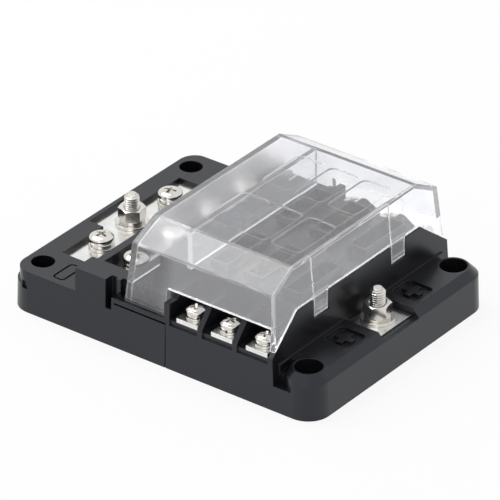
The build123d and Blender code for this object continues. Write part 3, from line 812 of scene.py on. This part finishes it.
def nut_piece(node_name, bore, material):
    """A hexagon nut with turned chamfers, in the place of its node."""
    low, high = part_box(node_name)
    bottom, top = low[2], high[2]
    flats = high[1] - low[1]
    nut = finished(node_name + "_form", hex_solid(flats, bottom, top), material)
    corner = flats / 2 / cos(pi / 6) + 0.01 * MM
    land = flats / 2 - 0.05 * MM
    lens = [
        (0, bottom), (land, bottom), (corner, bottom + NUT_CHAMFER), (corner, top - NUT_CHAMFER),
        (land, top), (0, top),
    ]
    carved(nut, finished("lens", turned(lens, 60), material), "INTERSECT")
    past = NUT_CHAMFER
    mouth = bore + BORE_CHAMFER + past
    hole = [
        (0, bottom - past), (mouth, bottom - past), (bore, bottom + BORE_CHAMFER),
        (bore, top - BORE_CHAMFER), (mouth, top + past), (0, top + past),
    ]
    carved(nut, finished("hole", turned(hole, 36), material))
    stood_at(nut, node_name, NUT_TURN)
    take_over(nut, node_name)


def stud_piece(node_name, settings, materials):
    """A threaded stud with its hexagon head below, in the place of its node."""
    low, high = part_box(node_name)
    neck = low[2] + STUD_HEAD_HEIGHT
    head = hex_solid(high[1] - low[1], low[2], neck)
    rod = thread_form(settings.stud_size, settings.stud_pitch, neck, high[2])
    stud = finished(node_name + "_form", joined(head, rod), *materials)
    stood_at(stud, node_name)
    take_over(stud, node_name)


# Stage


def stage_camera(settings):
    """A camera at the photograph's angle."""
    across = Vector((cos(settings.azimuth), sin(settings.azimuth), 0))
    back = Vector((
        sin(settings.azimuth) * cos(settings.elevation),
        -cos(settings.azimuth) * cos(settings.elevation),
        sin(settings.elevation),
    ))
    above = back.cross(across)
    data = bpy.data.cameras.new("Camera")
    data.sensor_fit = "HORIZONTAL"
    data.sensor_width = SENSOR_WIDTH
    data.lens = settings.lens
    data.clip_end = VIEW_END
    camera = bpy.data.objects.new("Camera", data)
    place = across * settings.aim_right + above * settings.aim_up + back * settings.distance
    turn = Matrix((across, above, back)).transposed().to_4x4()
    camera.matrix_world = Matrix.Translation(place) @ turn
    bpy.context.scene.collection.objects.link(camera)
    bpy.context.scene.camera = camera


def looked_at(nodes, links):
    """A mask: whether the camera, gloss or clear plastic looks, and not only light."""
    rays = nodes.new("ShaderNodeLightPath")
    seen = rays.outputs["Is Camera Ray"]
    for name in ("Is Glossy Ray", "Is Transmission Ray"):
        seen = math_step(nodes, links, "MAXIMUM", seen, rays.outputs[name])
    return seen


def stage_floor(settings):
    """A pale floor that shows nearly white and keeps a faint shadow."""
    bm = bmesh.new()
    bmesh.ops.create_grid(bm, x_segments=1, y_segments=1, size=settings.floor_size / 2)
    mesh = bpy.data.meshes.new("Floor")
    bm.to_mesh(mesh)
    bm.free()
    floor = bpy.data.objects.new("Floor", mesh)
    bpy.context.scene.collection.objects.link(floor)
    material = bpy.data.materials.new("Pale floor")
    material.use_nodes = True
    nodes, links = material.node_tree.nodes, material.node_tree.links
    shader = nodes["Principled BSDF"]
    shader.inputs["Base Color"].default_value = FLOOR_COLOUR
    shader.inputs["Roughness"].default_value = FLOOR_ROUGHNESS
    shader.inputs["Specular IOR Level"].default_value = 0
    glow = nodes.new("ShaderNodeEmission")
    share = math_step(nodes, links, "MULTIPLY", looked_at(nodes, links), FLOOR_GLOW)
    mix = nodes.new("ShaderNodeMixShader")
    links.new(share, mix.inputs[0])
    links.new(shader.outputs["BSDF"], mix.inputs[1])
    links.new(glow.outputs["Emission"], mix.inputs[2])
    links.new(mix.outputs["Shader"], nodes["Material Output"].inputs["Surface"])
    mesh.materials.append(material)


def stage_world(settings):
    """White to the camera, to gloss and through clear plastic; softer as light."""
    world = bpy.data.worlds.new("Studio")
    bpy.context.scene.world = world
    world.use_nodes = True
    nodes, links = world.node_tree.nodes, world.node_tree.links
    glow = nodes["Background"]
    glow.inputs["Color"].default_value = (1, 1, 1, 1)
    seen = looked_at(nodes, links)
    strength = mapped(nodes, links, seen, (0.0, 1.0), settings.ambient, 1.0)
    links.new(strength, glow.inputs["Strength"])


def soft_lamp(name, place, power):
    """A square soft lamp that points at the block."""
    data = bpy.data.lights.new(name, "AREA")
    data.shape = "SQUARE"
    data.size = LAMP_SIZE
    data.energy = power
    lamp = bpy.data.objects.new(name, data)
    turn = Vector(place).normalized().to_track_quat("Z", "Y").to_matrix().to_4x4()
    lamp.matrix_world = Matrix.Translation(place) @ turn
    bpy.context.scene.collection.objects.link(lamp)


# Operators


class FUSEBLOCK_OT_moulding(bpy.types.Operator):
    """Finish the black moulded base"""

    bl_idname = "fuseblock.moulding"
    bl_label = "Finish Moulding"

    def execute(self, context):
        dress("base", moulding_material(context.scene.fuse_block.moulding))
        return {"FINISHED"}


class FUSEBLOCK_OT_cover(bpy.types.Operator):
    """Finish the clear cover"""

    bl_idname = "fuseblock.cover"
    bl_label = "Finish Cover"

    def execute(self, context):
        dress("cover", cover_material(context.scene.fuse_block.cover))
        return {"FINISHED"}


class FUSEBLOCK_OT_bars(bpy.types.Operator):
    """Finish the buses and the output terminals"""

    bl_idname = "fuseblock.bars"
    bl_label = "Finish Bars"

    def execute(self, context):
        settings = context.scene.fuse_block.plating
        plate = plated_material(
            "Tin plate", settings.bar_colour, settings.bar_roughness, settings.edge
        )
        dress("positive_bus", plate)
        dress("negative_bus", plate)
        for ending in endings():
            dress(f"output_terminal_{ending}", plate)
        return {"FINISHED"}


def endings():
    """How the names of one kind's pieces end, from near_1 to far_3."""
    return [f"{side}_{number}" for side in SIDES for number in range(1, PER_SIDE + 1)]


def nickel():
    """The fasteners' material, made once."""
    found = bpy.data.materials.get("Nickel")
    if found:
        return found
    settings = bpy.context.scene.fuse_block.plating
    return plated_material(
        "Nickel", settings.fastener_colour, settings.fastener_roughness, settings.edge
    )


def threaded():
    """The materials of a threaded piece: its metal and the painted shade of its grooves."""
    groove_shade = bpy.data.materials.get("Thread groove shade")
    if not groove_shade:
        groove_shade = groove_shade_material(bpy.context.scene.fuse_block.plating.groove_painted_shade)
    return nickel(), groove_shade


class FUSEBLOCK_OT_screws(bpy.types.Operator):
    """Make the terminal screws and their washers"""

    bl_idname = "fuseblock.screws"
    bl_label = "Make Screws"

    def execute(self, context):
        settings = context.scene.fuse_block.fastener
        kinds = (("output", settings.output_shank), ("negative", settings.negative_shank))
        turn = 0.0
        for kind, shank in kinds:
            for ending in endings():
                turn += SCREW_TURN
                screw, washers = f"{kind}_screw_{ending}", f"{kind}_washers_{ending}"
                terminal_screw(screw, washers, shank, settings.screw_pitch, turn, threaded())
                low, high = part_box(screw)
                reach = (high[0] - low[0]) / 2 - SPLIT_SET_IN
                bore = shank / 2 + SCREW_WASHER_GAP
                washer_pair(washers, bore, reach, settings, -turn, nickel())
        return {"FINISHED"}


class FUSEBLOCK_OT_studs(bpy.types.Operator):
    """Make the studs, their nuts and washers"""

    bl_idname = "fuseblock.studs"
    bl_label = "Make Studs"

    def execute(self, context):
        settings = context.scene.fuse_block.fastener
        radius = settings.stud_size / 2
        for name in ("negative", "positive"):
            stud_piece(f"{name}_stud", settings, threaded())
            nut_piece(f"{name}_nut", radius + NUT_GAP, nickel())
            washer_pair(
                f"{name}_stud_washers", radius + STUD_WASHER_GAP, STUD_SPLIT_RADIUS, settings,
                STUD_WASHER_TURN, nickel(),
            )
        return {"FINISHED"}


class FUSEBLOCK_OT_stage(bpy.types.Operator):
    """Set the camera, floor and lights"""

    bl_idname = "fuseblock.stage"
    bl_label = "Set Stage"

    def execute(self, context):
        settings = context.scene.fuse_block.stage
        stage_camera(settings)
        stage_floor(settings)
        stage_world(settings)
        soft_lamp("Key", KEY_PLACE, settings.key_power)
        soft_lamp("Fill", FILL_PLACE, settings.fill_power)
        context.scene.view_settings.view_transform = "Standard"
        return {"FINISHED"}


class FUSEBLOCK_PT_panel(bpy.types.Panel):
    """Lists the steps that finish the fuse block."""

    bl_idname = "FUSEBLOCK_PT_panel"
    bl_label = "Fuse Block"
    bl_space_type = "VIEW_3D"
    bl_region_type = "UI"
    bl_category = "Fuse Block"

    def draw(self, context):
        for step in STEPS:
            self.layout.operator(step.bl_idname)


STEPS = (
    FUSEBLOCK_OT_stage,
    FUSEBLOCK_OT_moulding,
    FUSEBLOCK_OT_bars,
    FUSEBLOCK_OT_screws,
    FUSEBLOCK_OT_studs,
    FUSEBLOCK_OT_cover,
)
CLASSES = (
    MouldingSettings, CoverSettings, PlatingSettings, FastenerSettings, StageSettings,
    FuseBlockSettings, *STEPS, FUSEBLOCK_PT_panel,
)


def register():
    """Adds the classes and the scene's settings."""
    for item in CLASSES:
        bpy.utils.register_class(item)
    bpy.types.Scene.fuse_block = bpy.props.PointerProperty(type=FuseBlockSettings)


def unregister():
    """Takes the settings and the classes away again."""
    del bpy.types.Scene.fuse_block
    for item in reversed(CLASSES):
        bpy.utils.unregister_class(item)


def main():
    """Makes every piece in order."""
    register()
    bpy.ops.fuseblock.stage()
    bpy.ops.fuseblock.moulding()
    bpy.ops.fuseblock.bars()
    bpy.ops.fuseblock.screws()
    bpy.ops.fuseblock.studs()
    bpy.ops.fuseblock.cover()


if __name__ == "__main__":
    main()
